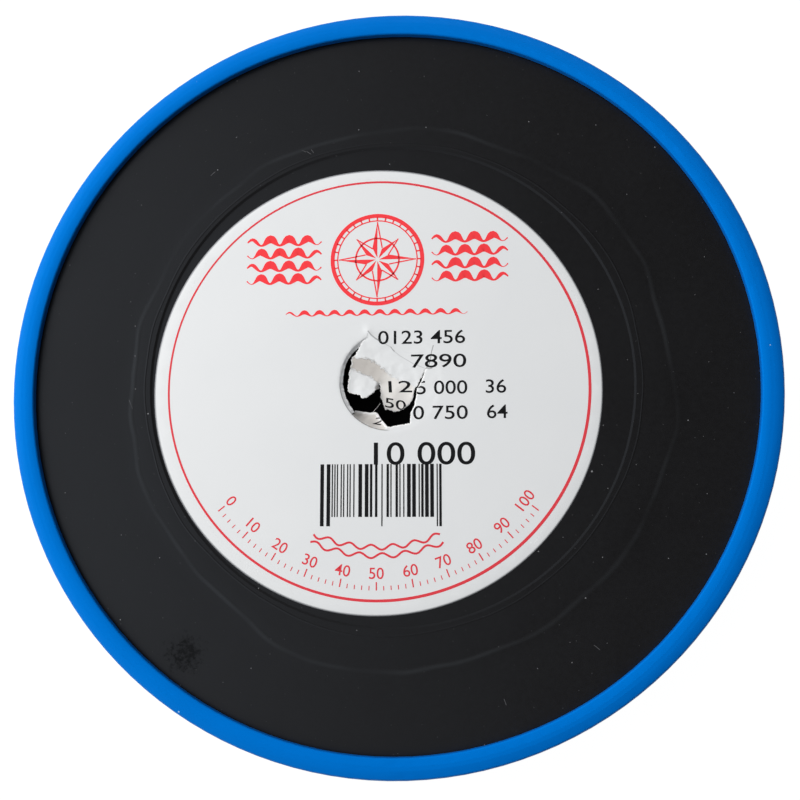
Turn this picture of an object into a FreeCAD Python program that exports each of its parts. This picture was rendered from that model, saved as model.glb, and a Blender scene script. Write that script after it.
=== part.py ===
import FreeCAD, Part
import math
import os
import Sketcher

# A snapped-together fishing line spool, lying on its rear side.
# +Z is the spool's axis and points out of its labelled front. Z = 0 is the plane that the blue band rests on.

VECTOR = FreeCAD.Vector

SIZES = {
    # blue keeper band
    "band_radius": 80.0,
    "band_width": 22.0,
    "band_wall": 1.8,
    "lip_width": 4.5,
    "lip_crest_radius": 77.55,
    "lip_crest_width": 0.8,
    "lip_edge_tilt": 22.0,
    "lip_inner_round": 0.5,
    "lip_outer_round": 0.8,
    "line_hole_radius": 1.6,
    "line_hole_flare": 0.7,
    # black halves
    "face_set_back": 2.0,
    "flange_thickness": 2.2,
    "rim_thickness": 1.9,
    "rim_edge_round": 0.6,
    "hub_radius": 58.0,
    "hub_wall": 2.0,
    "recess_border": 7.6,
    "recess_depth": 0.5,
    "recess_slope": 0.4,
    "bore_radius": 10.25,
    "bore_mouth_chamfer": 0.5,
    "bore_seam_chamfer": 0.6,
    "arbor_wall": 2.0,
    # stiffening and snap features inside the hub
    "rib_count": 6,
    "rib_thickness": 1.6,
    "rib_relief": 0.6,
    "peg_circle_radius": 34.0,
    "peg_radius": 2.2,
    "peg_length": 5.0,
    "peg_tip_height": 1.0,
    "peg_tip_radius": 1.5,
    "boss_wall": 1.6,
    # wound line
    "winding_depth": 9.0,
    "winding_crown": 0.9,
    # paper label, stuck down a little off centre within its recess
    "label_border": 3.5,
    "label_thickness": 0.15,
    "label_shift_x": -3.2,
    "label_shift_y": -1.1,
    # clearances
    "band_clearance": 0.25,
    "peg_clearance": 0.08,
    "socket_end_room": 0.3,
    "line_clearance": 0.3,
}

# Shares of the bore's radius that place the torn paper over the bore, as the label is read.
# The upper flap hangs from a crease that runs from the upper left of the bore down to a slit at its right.
UPPER_CREASE_START = (-0.42, 0.90)
UPPER_CREASE_END = (0.74, 0.23)
SLIT = [(0.59, -0.13), (0.53, -0.44), (0.43, -0.89)]
# The left end of the upper flap, which the paper bends down to and which lies level again.
LEFT_END_OUTLINE = [
    (-0.42, 0.96),
    (-0.66, 0.66),
    (-0.74, 0.50),
    (-0.80, 0.26),
    (-0.83, 0.10),
    (-0.84, -0.18),
    (-0.80, -0.24),
    (-0.65, -0.26),
    (-0.58, -0.31),
    (-0.46, -0.34),
    (-0.36, -0.26),
    (-0.18, -0.14),
    (-0.17, -0.04),
    (0.30, 0.56),
]
# The right end of the upper flap, a tongue that curls down into the bore.
TONGUE_OUTLINE = [
    (-0.42, 0.96),
    (-0.40, 0.50),
    (-0.18, 0.00),
    (-0.12, -0.48),
    (-0.02, -0.60),
    (0.16, -0.64),
    (0.34, -0.57),
    (0.48, -0.41),
    (0.53, -0.13),
    (0.69, 0.22),
    (0.74, 0.34),
]
# The lower flap is short and is pressed down the wall at the lower left of the bore.
LOWER_CREASE_START = (-0.08, -0.98)
LOWER_CREASE_END = (-0.79, -0.60)
LOWER_FLAP_OUTLINE = [
    (-0.09, -1.00),
    (-0.10, -0.86),
    (-0.25, -0.68),
    (-0.40, -0.69),
    (-0.72, -0.63),
    (-0.80, -0.62),
]
# Each bend is (distance from the crease, drop), in the same shares.
SHOULDER_BENDS = [(0.34, 0.05), (0.52, 0.13)]
LEFT_END_BENDS = SHOULDER_BENDS + [(0.78, 0.34), (1.15, 0.36)]
TONGUE_BENDS = SHOULDER_BENDS + [(0.74, 0.22), (1.06, 0.46)]
LOWER_FLAP_BENDS = [(0.10, 0.10), (0.30, 0.38)]
FLAP_ROOM_SHARE = 0.06


class Size:
    """A length or an angle: its number, and the sheet expression that gives it."""

    def __init__(self, value, text):
        self.value = value
        self.text = text

    def combined(self, other, sign, value):
        return Size(value, f"({self.text} {sign} {as_size(other).text})")

    def __add__(self, other):
        return self.combined(other, "+", self.value + as_size(other).value)

    def __sub__(self, other):
        return self.combined(other, "-", self.value - as_size(other).value)

    def __mul__(self, other):
        return self.combined(other, "*", self.value * as_size(other).value)

    def __truediv__(self, other):
        return self.combined(other, "/", self.value / as_size(other).value)


def as_size(number):
    return number if isinstance(number, Size) else Size(number, str(number))


doc = FreeCAD.newDocument("fishing_line_spool")
sheet = doc.addObject("Spreadsheet::Sheet", "Sizes")
for row, (alias, number) in enumerate(SIZES.items(), start=1):
    sheet.set(f"A{row}", alias)
    sheet.set(f"B{row}", str(number))
    sheet.setAlias(f"B{row}", alias)
doc.recompute()


def size(alias):
    return Size(float(sheet.get(alias)), f"Sizes.{alias}")


def sine(angle):
    return Size(math.sin(math.radians(angle.value)), f"sin({angle.text})")


def cosine(angle):
    return Size(math.cos(math.radians(angle.value)), f"cos({angle.text})")


ZERO = as_size(0.0)
ONE = as_size(1.0)

band_radius = size("band_radius")
band_width = size("band_width")
bore_radius = size("bore_radius")
hub_radius = size("hub_radius")
flange_thickness = size("flange_thickness")
face_set_back = size("face_set_back")
recess_radius = hub_radius - size("recess_border")
recess_depth = size("recess_depth")
peg_radius = size("peg_radius")
peg_circle_radius = size("peg_circle_radius")
socket_radius = peg_radius + size("peg_clearance")
band_clearance = size("band_clearance")
line_clearance = size("line_clearance")
lip_opening_radius = band_radius - size("lip_width")

half_height = band_width / 2 - face_set_back
channel_radius = band_radius - size("band_wall")
flange_radius = channel_radius - band_clearance
arbor_radius = bore_radius + size("arbor_wall")
hub_inner_radius = hub_radius - size("hub_wall")


def new_body(label):
    body = doc.addObject("PartDesign::Body", label)
    body.Label = label
    return body


def origin_plane(body, role):
    return next(f for f in body.Origin.OriginFeatures if f.Role == role)


def new_sketch(body, name, role, lift=None):
    sketch = body.newObject("Sketcher::SketchObject", name)
    sketch.AttachmentSupport = (origin_plane(body, role), [""])
    sketch.MapMode = "FlatFace"
    if lift is not None:
        sketch.setExpression(".AttachmentOffset.Base.z", lift.text)
    return sketch


def pin_coordinate(sketch, kind, geometry, vertex, place):
    """Ties one coordinate of a sketch vertex to the sheet."""
    if place.value == 0.0:
        axis = -2 if kind == "DistanceX" else -1
        sketch.addConstraint(
            Sketcher.Constraint("PointOnObject", geometry, vertex, axis)
        )
        return
    index = sketch.addConstraint(
        Sketcher.Constraint(kind, -1, 1, geometry, vertex, place.value)
    )
    sketch.setExpression(f"Constraints[{index}]", place.text)


def arc_centre(start, end, radius, left):
    """The centre of an arc between two points, on the left or the right of the way from start to end."""
    middle = (start + end) * 0.5
    along = end - start
    reach = math.sqrt(max(radius**2 - (along.Length / 2) ** 2, 0.0))
    across = VECTOR(-along.y, along.x, 0).normalize()
    return middle + across * (reach if left else -reach)


def draw_profile(sketch, corners):
    """Draws a closed profile. A corner is (x, y), or (x, y, radius, left) where an arc leads on from it."""
    points = [VECTOR(c[0].value, c[1].value, 0) for c in corners]
    edges = []
    for number, corner in enumerate(corners):
        start = points[number]
        end = points[(number + 1) % len(points)]
        if len(corner) == 2:
            edge = sketch.addGeometry(Part.LineSegment(start, end), False)
            edges.append((edge, 1, 2))
            continue
        radius, left = corner[2], corner[3]
        centre = arc_centre(start, end, radius.value, left)
        first, last = (start, end) if left else (end, start)
        angles = [math.atan2(p.y - centre.y, p.x - centre.x) for p in (first, last)]
        circle = Part.Circle(centre, VECTOR(0, 0, 1), radius.value)
        edge = sketch.addGeometry(Part.ArcOfCircle(circle, *angles), False)
        edges.append((edge, 1, 2) if left else (edge, 2, 1))
    for number, (edge, first, last) in enumerate(edges):
        following, next_first, _ = edges[(number + 1) % len(edges)]
        sketch.addConstraint(
            Sketcher.Constraint("Coincident", edge, last, following, next_first)
        )
        pin_coordinate(sketch, "DistanceX", edge, first, corners[number][0])
        pin_coordinate(sketch, "DistanceY", edge, first, corners[number][1])
        if len(corners[number]) > 2:
            radius = corners[number][2]
            index = sketch.addConstraint(
                Sketcher.Constraint("Radius", edge, radius.value)
            )
            sketch.setExpression(f"Constraints[{index}]", radius.text)


def draw_circle(sketch, x, y, radius):
    centre = VECTOR(x.value, y.value, 0)
    circle = sketch.addGeometry(
        Part.Circle(centre, VECTOR(0, 0, 1), radius.value), False
    )
    pin_coordinate(sketch, "DistanceX", circle, 3, x)
    pin_coordinate(sketch, "DistanceY", circle, 3, y)
    index = sketch.addConstraint(Sketcher.Constraint("Radius", circle, radius.value))
    sketch.setExpression(f"Constraints[{index}]", radius.text)


def revolve(body, name, corners):
    """Turns a profile of (distance from the axis, height) a full turn around Z."""
    sketch = new_sketch(body, name + "_profile", "XZ_Plane")
    draw_profile(sketch, corners)
    feature = body.newObject("PartDesign::Revolution", name)
    feature.Profile = sketch
    feature.ReferenceAxis = (sketch, ["V_Axis"])
    feature.Angle = 360
    return feature


def extrude(body, kind, name, sketch, length):
    feature = body.newObject(kind, name)
    feature.Profile = sketch
    feature.setExpression("Length", length.text)
    return feature


def repeat_round(body, name, original, sketch, axis="N_Axis"):
    """Repeats a feature round the spool's axis, as many times as there are ribs."""
    pattern = body.newObject("PartDesign::PolarPattern", name)
    pattern.Originals = [original]
    pattern.Axis = (sketch, [axis])
    pattern.Angle = 360
    pattern.setExpression("Occurrences", "Sizes.rib_count")
    body.Tip = pattern
    return pattern


# Spool halves. Each is drawn with its black outer face at height 0 and its open inside up.


def half_profile():
    mouth = size("bore_mouth_chamfer")
    seam = size("bore_seam_chamfer")
    rim = size("rim_thickness")
    edge_round = size("rim_edge_round")
    return [
        (bore_radius + mouth, recess_depth),
        (recess_radius, recess_depth),
        (recess_radius + size("recess_slope"), ZERO),
        (flange_radius - edge_round, ZERO, edge_round, True),
        (flange_radius, edge_round),
        (flange_radius, rim),
        (hub_radius, flange_thickness),
        (hub_radius, half_height),
        (hub_inner_radius, half_height),
        (hub_inner_radius, flange_thickness),
        (arbor_radius, flange_thickness),
        (arbor_radius, half_height),
        (bore_radius + seam, half_height),
        (bore_radius, half_height - seam),
        (bore_radius, recess_depth + mouth),
    ]


def add_ribs(body):
    """Radial ribs that tie the arbor tube to the hub wall, half way between two bosses."""
    sketch = new_sketch(body, "rib_outline", "XY_Plane", flange_thickness / 2)
    sketch.setExpression(".AttachmentOffset.Rotation.Angle", "180 / Sizes.rib_count")
    start = bore_radius + size("arbor_wall") / 2
    end = hub_radius - size("hub_wall") / 2
    side = size("rib_thickness") / 2
    draw_profile(
        sketch,
        [
            (start, ZERO - side),
            (end, ZERO - side),
            (end, side),
            (start, side),
        ],
    )
    height = half_height - size("rib_relief") - flange_thickness / 2
    rib = extrude(body, "PartDesign::Pad", "rib", sketch, height)
    return repeat_round(body, "ribs", rib, sketch)


def add_bosses(body):
    """Round bosses that meet those of the other half at the seam."""
    sketch = new_sketch(body, "boss_outline", "XY_Plane", flange_thickness / 2)
    draw_circle(sketch, peg_circle_radius, ZERO, socket_radius + size("boss_wall"))
    boss = extrude(
        body, "PartDesign::Pad", "boss", sketch, half_height - flange_thickness / 2
    )
    return repeat_round(body, "bosses", boss, sketch)


def add_pegs(body, root):
    """Straight pegs with tapered tips, for the sockets of the other half, rooted down in the bosses."""
    sketch = new_sketch(body, "peg_profile", "XZ_Plane")
    top = half_height + size("peg_length")
    shoulder = top - size("peg_tip_height")
    draw_profile(
        sketch,
        [
            (peg_circle_radius, half_height - root),
            (peg_circle_radius + peg_radius, half_height - root),
            (peg_circle_radius + peg_radius, shoulder),
            (peg_circle_radius + size("peg_tip_radius"), top),
            (peg_circle_radius, top),
        ],
    )
    ends = [VECTOR(peg_circle_radius.value, z.value, 0) for z in (half_height, top)]
    axis = sketch.addGeometry(Part.LineSegment(*ends), True)
    for vertex, height in ((1, half_height), (2, top)):
        pin_coordinate(sketch, "DistanceX", axis, vertex, peg_circle_radius)
        pin_coordinate(sketch, "DistanceY", axis, vertex, height)
    peg = body.newObject("PartDesign::Revolution", "peg")
    peg.Profile = sketch
    peg.ReferenceAxis = (sketch, ["Axis0"])
    peg.Angle = 360
    return repeat_round(body, "pegs", peg, sketch, "V_Axis")


def add_sockets(body):
    """Blind sockets in the bosses. A little room is left beyond the peg's tip."""
    sketch = new_sketch(body, "socket_outline", "XY_Plane", half_height)
    draw_circle(sketch, peg_circle_radius, ZERO, socket_radius)
    depth = size("peg_length") + size("socket_end_room")
    socket = extrude(body, "PartDesign::Pocket", "socket", sketch, depth)
    return repeat_round(body, "sockets", socket, sketch)


def make_half(label):
    body = new_body(label)
    revolve(body, "shell", half_profile())
    add_ribs(body)
    add_bosses(body)
    return body


rear_half = make_half("rear_spool_half")
add_pegs(rear_half, flange_thickness)
rear_half.setExpression(".Placement.Base.z", face_set_back.text)

front_half = make_half("front_spool_half")
add_sockets(front_half)
front_half.Placement = FreeCAD.Placement(
    VECTOR(0, 0, 0), FreeCAD.Rotation(VECTOR(1, 0, 0), 180)
)
front_half.setExpression(".Placement.Base.z", (band_width - face_set_back).text)

# Keeper band: a channel that grips both flanges. Its lips are crowned, and are level only along their crests.

keeper_band = new_body("keeper_band")
lip_thickness = face_set_back - band_clearance
crest_radius = size("lip_crest_radius")
crest_half_width = size("lip_crest_width") / 2
edge_tilt = size("lip_edge_tilt")
inner_round = size("lip_inner_round")
outer_round = size("lip_outer_round")
inner_crest = crest_radius - crest_half_width
outer_crest = crest_radius + crest_half_width
inner_shoulder = lip_opening_radius + inner_round * (ONE - sine(edge_tilt))
outer_shoulder = band_radius - outer_round * (ONE - sine(edge_tilt))
inner_crown = (inner_crest - inner_shoulder) / sine(edge_tilt)
outer_crown = (outer_shoulder - outer_crest) / sine(edge_tilt)
inner_fall = inner_crown * (ONE - cosine(edge_tilt))
outer_fall = outer_crown * (ONE - cosine(edge_tilt))
inner_side = inner_fall + inner_round * cosine(edge_tilt)
outer_side = outer_fall + outer_round * cosine(edge_tilt)
revolve(
    keeper_band,
    "channel",
    [
        (lip_opening_radius, inner_side, inner_round, True),
        (inner_shoulder, inner_fall, inner_crown, True),
        (inner_crest, ZERO),
        (outer_crest, ZERO, outer_crown, True),
        (outer_shoulder, outer_fall, outer_round, True),
        (band_radius, outer_side),
        (band_radius, band_width - outer_side, outer_round, True),
        (outer_shoulder, band_width - outer_fall, outer_crown, True),
        (outer_crest, band_width),
        (inner_crest, band_width, inner_crown, True),
        (inner_shoulder, band_width - inner_fall, inner_round, True),
        (lip_opening_radius, band_width - inner_side),
        (lip_opening_radius, band_width - lip_thickness),
        (channel_radius, band_width - lip_thickness),
        (channel_radius, lip_thickness),
        (lip_opening_radius, lip_thickness),
    ],
)


def cut_line_hole(body):
    """The eased hole that the line leaves through, along +X at mid-width."""
    sketch = new_sketch(body, "line_hole_profile", "XY_Plane", band_width / 2)
    hole = size("line_hole_radius")
    flare = size("line_hole_flare")
    margin = band_clearance
    draw_profile(
        sketch,
        [
            (channel_radius - margin, ZERO),
            (band_radius + margin, ZERO),
            (band_radius + margin, hole + flare + margin),
            (band_radius - flare, hole),
            (channel_radius - margin, hole),
        ],
    )
    groove = body.newObject("PartDesign::Groove", "line_hole")
    groove.Profile = sketch
    groove.ReferenceAxis = (sketch, ["H_Axis"])
    groove.Angle = 360


cut_line_hole(keeper_band)

# Wound line: one closed form between the flanges, crowned where the turns pile up.

line_winding = new_body("line_winding")
winding_low = face_set_back + flange_thickness + line_clearance
winding_high = band_width - winding_low
winding_width = winding_high - winding_low
crown = size("winding_crown")
crown_round = winding_width * winding_width / (crown * 8) + crown / 2
winding_side = hub_radius + size("winding_depth") - crown
revolve(
    line_winding,
    "winding",
    [
        (hub_radius + line_clearance, winding_low),
        (winding_side, winding_low, crown_round, True),
        (winding_side, winding_high),
        (hub_radius + line_clearance, winding_high),
    ],
)

# Paper label, torn open over the bore. Its torn edges are fixed shares of the bore's radius.

paper = size("label_thickness").value
bore = bore_radius.value
paper_floor = (band_width - face_set_back - recess_depth).value
flap_room = FLAP_ROOM_SHARE * bore


def at_bore(share):
    return VECTOR(share[0] * bore, share[1] * bore, 0)


def prism(points, low, high):
    """A closed outline of points, filled from one height to another."""
    closed = [VECTOR(p.x, p.y, low) for p in points]
    face = Part.Face(Part.makePolygon(closed + closed[:1]))
    return face.extrude(VECTOR(0, 0, high - low))


def bent_sheet(crease_start, crease_end, bends):
    """A strip of paper, wider than the bore, that overlaps the flat label and bends down past the crease."""
    along = (crease_end - crease_start).normalize()
    away = VECTOR(along.y, -along.x, 0)
    low = [crease_start - away * flap_room, crease_start]
    for distance, drop in bends:
        place = crease_start + away * (distance * bore)
        low.append(place - VECTOR(0, 0, drop * bore))
    top = [p + VECTOR(0, 0, paper) for p in low]
    outline = Part.makePolygon(top + low[::-1] + top[:1])
    side = Part.Face(outline)
    width = along * (2 * bore)
    return side.extrude(width).fuse(side.extrude(width * -1)).removeSplitter()


def round_cut(shape):
    """Keeps a flap clear of the bore's wall."""
    reach = bore - flap_room
    return shape.common(Part.makeCylinder(reach, 2 * bore, VECTOR(0, 0, -bore)))


def flap(crease, bends, outline):
    """A flap of torn paper, bent down from its crease and trimmed to its torn outline."""
    bent = bent_sheet(at_bore(crease[0]), at_bore(crease[1]), bends)
    points = [at_bore(share) for share in outline]
    return round_cut(bent.common(prism(points, -bore, bore)))


def torn_opening():
    """The hole in the flat sheet: along the upper crease, down the slit and back round the bore's edge."""
    shares = [UPPER_CREASE_START, UPPER_CREASE_END, *SLIT]
    shares += [LOWER_CREASE_START, LOWER_CREASE_END]
    line = [at_bore(share) for share in shares]
    edges = [Part.LineSegment(a, b).toShape() for a, b in zip(line, line[1:])]
    left_of_bore = VECTOR(-bore, 0, 0)
    edges.append(Part.Arc(line[-1], left_of_bore, line[0]).toShape())
    face = Part.Face(Part.Wire(edges))
    face.translate(VECTOR(0, 0, -bore))
    return face.extrude(VECTOR(0, 0, 2 * bore))


def label_shape():
    centre = VECTOR(size("label_shift_x").value, size("label_shift_y").value, 0)
    radius = (recess_radius - size("label_border")).value
    disc = Part.makeCylinder(radius, paper, centre)
    upper_crease = (UPPER_CREASE_START, UPPER_CREASE_END)
    lower_crease = (LOWER_CREASE_START, LOWER_CREASE_END)
    flaps = [
        flap(upper_crease, LEFT_END_BENDS, LEFT_END_OUTLINE),
        flap(upper_crease, TONGUE_BENDS, TONGUE_OUTLINE),
        flap(lower_crease, LOWER_FLAP_BENDS, LOWER_FLAP_OUTLINE),
    ]
    return disc.cut(torn_opening()).fuse(flaps)


front_label = doc.addObject("Part::Feature", "front_label")
front_label.Label = "front_label"
front_label.Shape = label_shape().removeSplitter()
front_label.Placement = FreeCAD.Placement(
    VECTOR(0, 0, paper_floor), FreeCAD.Rotation()
)

doc.recompute()

NODES = [front_half, rear_half, keeper_band, line_winding, front_label]
for item in doc.Objects:
    if "Invalid" in item.State or "Error" in item.State:
        raise RuntimeError(f"{item.Name} failed: {item.State}")
for node in NODES:
    if node.Shape.isNull() or not node.Shape.isValid():
        raise RuntimeError(f"{node.Label} has no valid shape")
os.makedirs("parts", exist_ok=True)
for node in NODES:
    shape = node.Shape
    print(node.Label, len(shape.Solids), "solid", round(shape.Volume, 1), "mm3")
    shape.exportStep(f"parts/{node.Label}.step")
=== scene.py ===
"""Looks of a flat fishing line spool: black moulded halves, a blue keeper band, a torn printed label."""
import functools
import math
import random

import bmesh
import bpy
import numpy as np
from mathutils import Matrix, Vector, noise
from mathutils.bvhtree import BVHTree
from mathutils.geometry import delaunay_2d_cdt


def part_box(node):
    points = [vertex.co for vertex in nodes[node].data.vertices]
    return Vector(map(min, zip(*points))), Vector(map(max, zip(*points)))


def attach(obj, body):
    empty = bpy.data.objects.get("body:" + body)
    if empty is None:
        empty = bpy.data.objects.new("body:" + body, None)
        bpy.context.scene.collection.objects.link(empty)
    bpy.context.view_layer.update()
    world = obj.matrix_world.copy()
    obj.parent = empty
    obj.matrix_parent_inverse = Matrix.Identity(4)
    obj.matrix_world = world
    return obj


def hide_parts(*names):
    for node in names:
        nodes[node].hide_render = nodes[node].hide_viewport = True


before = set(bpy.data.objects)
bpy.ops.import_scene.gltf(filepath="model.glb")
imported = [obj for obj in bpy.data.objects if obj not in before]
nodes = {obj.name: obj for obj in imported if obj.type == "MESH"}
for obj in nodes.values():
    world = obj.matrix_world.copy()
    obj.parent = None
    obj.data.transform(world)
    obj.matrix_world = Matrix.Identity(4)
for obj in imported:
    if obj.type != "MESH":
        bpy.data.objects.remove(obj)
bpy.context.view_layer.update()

MM = 0.001
SEED = 7

# Unless a name says otherwise, lengths are in millimetres, places in the frame's axes, angles in degrees.
# As photographed, the label lies a little beside the solids' label and is a little wider.
LABEL_SHIFT = (0.25, -0.21)
LABEL_SPREAD = 0.10
LABEL_THICKNESS = 0.15
label_low, label_high = (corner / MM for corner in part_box("front_label"))
LABEL_TOP = label_high.z
LABEL_RADIUS = (label_high.x - label_low.x) / 2 + LABEL_SPREAD
LABEL_CENTRE = (
    (label_high.x + label_low.x) / 2 + LABEL_SHIFT[0],
    (label_high.y + label_low.y) / 2 + LABEL_SHIFT[1],
)
BAND_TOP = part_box("keeper_band")[1].z / MM
FACE_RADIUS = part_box("front_spool_half")[1].x / MM


def rgba(red, green, blue):
    return (red, green, blue, 1.0)


WHITE = rgba(1, 1, 1)


class Graph:
    """A node tree with the few calls that the world and the materials need."""

    def __init__(self, tree):
        self.tree = tree

    def node(self, kind, **settings):
        made = self.tree.nodes.new(kind)
        for name, value in settings.items():
            setattr(made, name, value)
        return made

    def feed(self, socket, value):
        if isinstance(value, bpy.types.NodeSocket):
            self.tree.links.new(value, socket)
        else:
            socket.default_value = value

    def vector(self, operation, *values, scale=None):
        made = self.node("ShaderNodeVectorMath", operation=operation)
        for socket, value in zip(made.inputs, values):
            self.feed(socket, value)
        if scale is not None:
            self.feed(made.inputs["Scale"], scale)
        return made.outputs["Value"] if operation in ("LENGTH", "DOT_PRODUCT") else made.outputs[0]

    def axis(self, vector, name):
        """The X, Y or Z of a vector."""
        split = self.node("ShaderNodeSeparateXYZ")
        self.feed(split.inputs[0], vector)
        return split.outputs[name]

    def math(self, operation, *values):
        made = self.node("ShaderNodeMath", operation=operation)
        for socket, value in zip(made.inputs, values):
            self.feed(socket, value)
        return made.outputs[0]

    def product(self, *values):
        return functools.reduce(functools.partial(self.math, "MULTIPLY"), values)

    def strongest(self, *values):
        return functools.reduce(functools.partial(self.math, "MAXIMUM"), values)

    def fade(self, value, low, high, to_low=0.0, to_high=1.0, kind="SMOOTHSTEP"):
        """Goes smoothly from to_low to to_high while value goes from low to high."""
        made = self.node("ShaderNodeMapRange", interpolation_type=kind)
        for name, number in (("Value", value), ("From Min", low), ("From Max", high),
                             ("To Min", to_low), ("To Max", to_high)):
            self.feed(made.inputs[name], number)
        return made.outputs["Result"]

    def near(self, value, target, reach, core=0.0):
        """1 where value is within core of the target, 0 beyond reach of it."""
        off = self.math("ABSOLUTE", self.math("SUBTRACT", value, target))
        return self.fade(off, reach, core)

    def mix(self, factor, first, second):
        made = self.node("ShaderNodeMix", data_type="RGBA")
        self.feed(made.inputs["Factor"], factor)
        self.feed(made.inputs[6], first)
        self.feed(made.inputs[7], second)
        return made.outputs[2]

    def camera_rays(self):
        return self.node("ShaderNodeLightPath").outputs["Is Camera Ray"]

    def mirror_rays(self):
        """1 for rays that were mirrored or went through something clear."""
        path = self.node("ShaderNodeLightPath")
        return self.strongest(path.outputs["Is Glossy Ray"], path.outputs["Is Transmission Ray"])


class Shader(Graph):
    """A material. A place is in millimetres in the object's own axes."""

    def __init__(self, name):
        self.material = bpy.data.materials.new(name)
        self.material.use_nodes = True
        super().__init__(self.material.node_tree)
        self.surface = self.tree.nodes["Principled BSDF"]
        metres = self.node("ShaderNodeTexCoord").outputs["Object"]
        self.place = self.vector("SCALE", metres, scale=1 / MM)

    def noise(self, size, detail=2.0, roughness=0.5):
        """Noise from 0 to 1 whose lumps are about size millimetres across."""
        made = self.node("ShaderNodeTexNoise")
        self.feed(made.inputs["Vector"], self.place)
        made.inputs["Scale"].default_value = 1 / size
        made.inputs["Detail"].default_value = detail
        made.inputs["Roughness"].default_value = roughness
        return made.outputs[0]

    def attribute(self, name):
        return self.node("ShaderNodeAttribute", attribute_name=name).outputs["Fac"]

    def offset(self, x, y):
        """Offset in the XY plane from the upright line through x, y."""
        return self.vector("MULTIPLY", self.vector("SUBTRACT", self.place, (x, y, 0)), (1, 1, 0))

    def distance(self, x, y):
        """Distance from the upright line through x, y."""
        return self.vector("LENGTH", self.offset(x, y))

    def relief(self, *layers):
        """The normal over layers of relief, each a height from 0 to 1 and its depth in millimetres."""
        normal = None
        for height, depth in layers:
            made = self.node("ShaderNodeBump")
            made.inputs["Distance"].default_value = depth * MM
            self.feed(made.inputs["Height"], height)
            if normal is not None:
                self.feed(made.inputs["Normal"], normal)
            normal = made.outputs[0]
        return normal

    def set(self, name, value):
        self.feed(self.surface.inputs[name], value)


# Stage, light and camera

FLOOR_SIZE = 6000
FLOOR_GLOW = 0.97
FLOOR_COLOUR = rgba(0.12, 0.12, 0.12)
# Painted shade: the floor under the spool takes this dark colour, so the bore looks dark.
UNDER_SHADE_COLOUR = rgba(0.03, 0.03, 0.03)
UNDER_RADIUS = FACE_RADIUS - 4
OPEN_RADIUS = FACE_RADIUS - 1


def add_floor():
    """A plain pale floor. It glows only for the camera and for reflections, and under the spool it is painted
    dark as shade.
    """
    bpy.ops.mesh.primitive_plane_add(size=FLOOR_SIZE * MM)
    floor = bpy.context.object
    floor.name = "studio_floor"
    shader = Shader("studio_floor")
    in_the_open = shader.fade(shader.distance(0, 0), UNDER_RADIUS, OPEN_RADIUS)
    # Painted shade under the spool, pale floor in the open.
    shader.set("Base Color", shader.mix(in_the_open, UNDER_SHADE_COLOUR, FLOOR_COLOUR))
    shader.set("Roughness", 0.9)
    shader.set("Specular IOR Level", 0.0)
    seen = shader.strongest(shader.camera_rays(), shader.mirror_rays())
    shader.set("Emission Color", WHITE)
    shader.set("Emission Strength", shader.product(seen, in_the_open, FLOOR_GLOW))
    floor.data.materials.append(shader.material)


ROOM_COLOUR = rgba(0.97, 0.985, 1.0)
ROOM_BRIGHT_SIDE = Vector((-0.72, 0.42, 0.55)).normalized()
ROOM_DIM, ROOM_BRIGHT = 0.06, 0.80
ROOM_FADE = (-0.30, 1.0)
MIRROR_WARM, MIRROR_COOL = rgba(1.0, 0.94, 0.98), rgba(0.79, 0.87, 1.0)
MIRROR_TINT_FADE = (0.05, -0.35)
MIRROR_DIM, MIRROR_BRIGHT, MIRROR_SIDE = 0.10, 0.75, 0.6
MIRROR_FADE = (0.10, -0.42)
MIRROR_SIDE_FADE = (-0.50, -0.85)
HORIZON_HEIGHT = 0.12


def add_world():
    """Soft room light, strongest from the left. The camera and the mirrored horizon see white."""
    world = bpy.data.worlds.new("studio_light")
    bpy.context.scene.world = world
    world.use_nodes = True
    world.node_tree.nodes.clear()
    graph = Graph(world.node_tree)

    def background(colour, strength):
        made = graph.node("ShaderNodeBackground")
        graph.feed(made.inputs["Color"], colour)
        graph.feed(made.inputs["Strength"], strength)
        return made.outputs[0]

    def choose(factor, first, second):
        made = graph.node("ShaderNodeMixShader")
        for socket, value in zip(made.inputs, (factor, first, second)):
            graph.feed(socket, value)
        return made.outputs[0]

    direction = graph.node("ShaderNodeTexCoord").outputs["Generated"]
    rightward = graph.axis(direction, "X")
    side = graph.vector("DOT_PRODUCT", direction, ROOM_BRIGHT_SIDE)
    room = background(ROOM_COLOUR, graph.fade(side, *ROOM_FADE, ROOM_DIM, ROOM_BRIGHT))
    tint = graph.mix(graph.fade(rightward, *MIRROR_TINT_FADE), MIRROR_WARM, MIRROR_COOL)
    strength = graph.math("ADD", graph.fade(rightward, *MIRROR_FADE, MIRROR_DIM, MIRROR_BRIGHT),
                          graph.fade(rightward, *MIRROR_SIDE_FADE, 0.0, MIRROR_SIDE))
    horizon = graph.fade(graph.axis(direction, "Z"), HORIZON_HEIGHT, 0.0)
    mirrored = background(tint, graph.strongest(strength, horizon))
    unseen = choose(graph.mirror_rays(), room, mirrored)
    everything = choose(graph.camera_rays(), unseen, background(WHITE, 1.0))
    graph.feed(graph.node("ShaderNodeOutputWorld").inputs["Surface"], everything)


KEY_AZIMUTH, KEY_ELEVATION = 157, 46
KEY_REACH = 520
KEY_SIZE = 250
KEY_WATTS = 2.10
KEY_COLOUR = (1.0, 0.99, 0.97)


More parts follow.
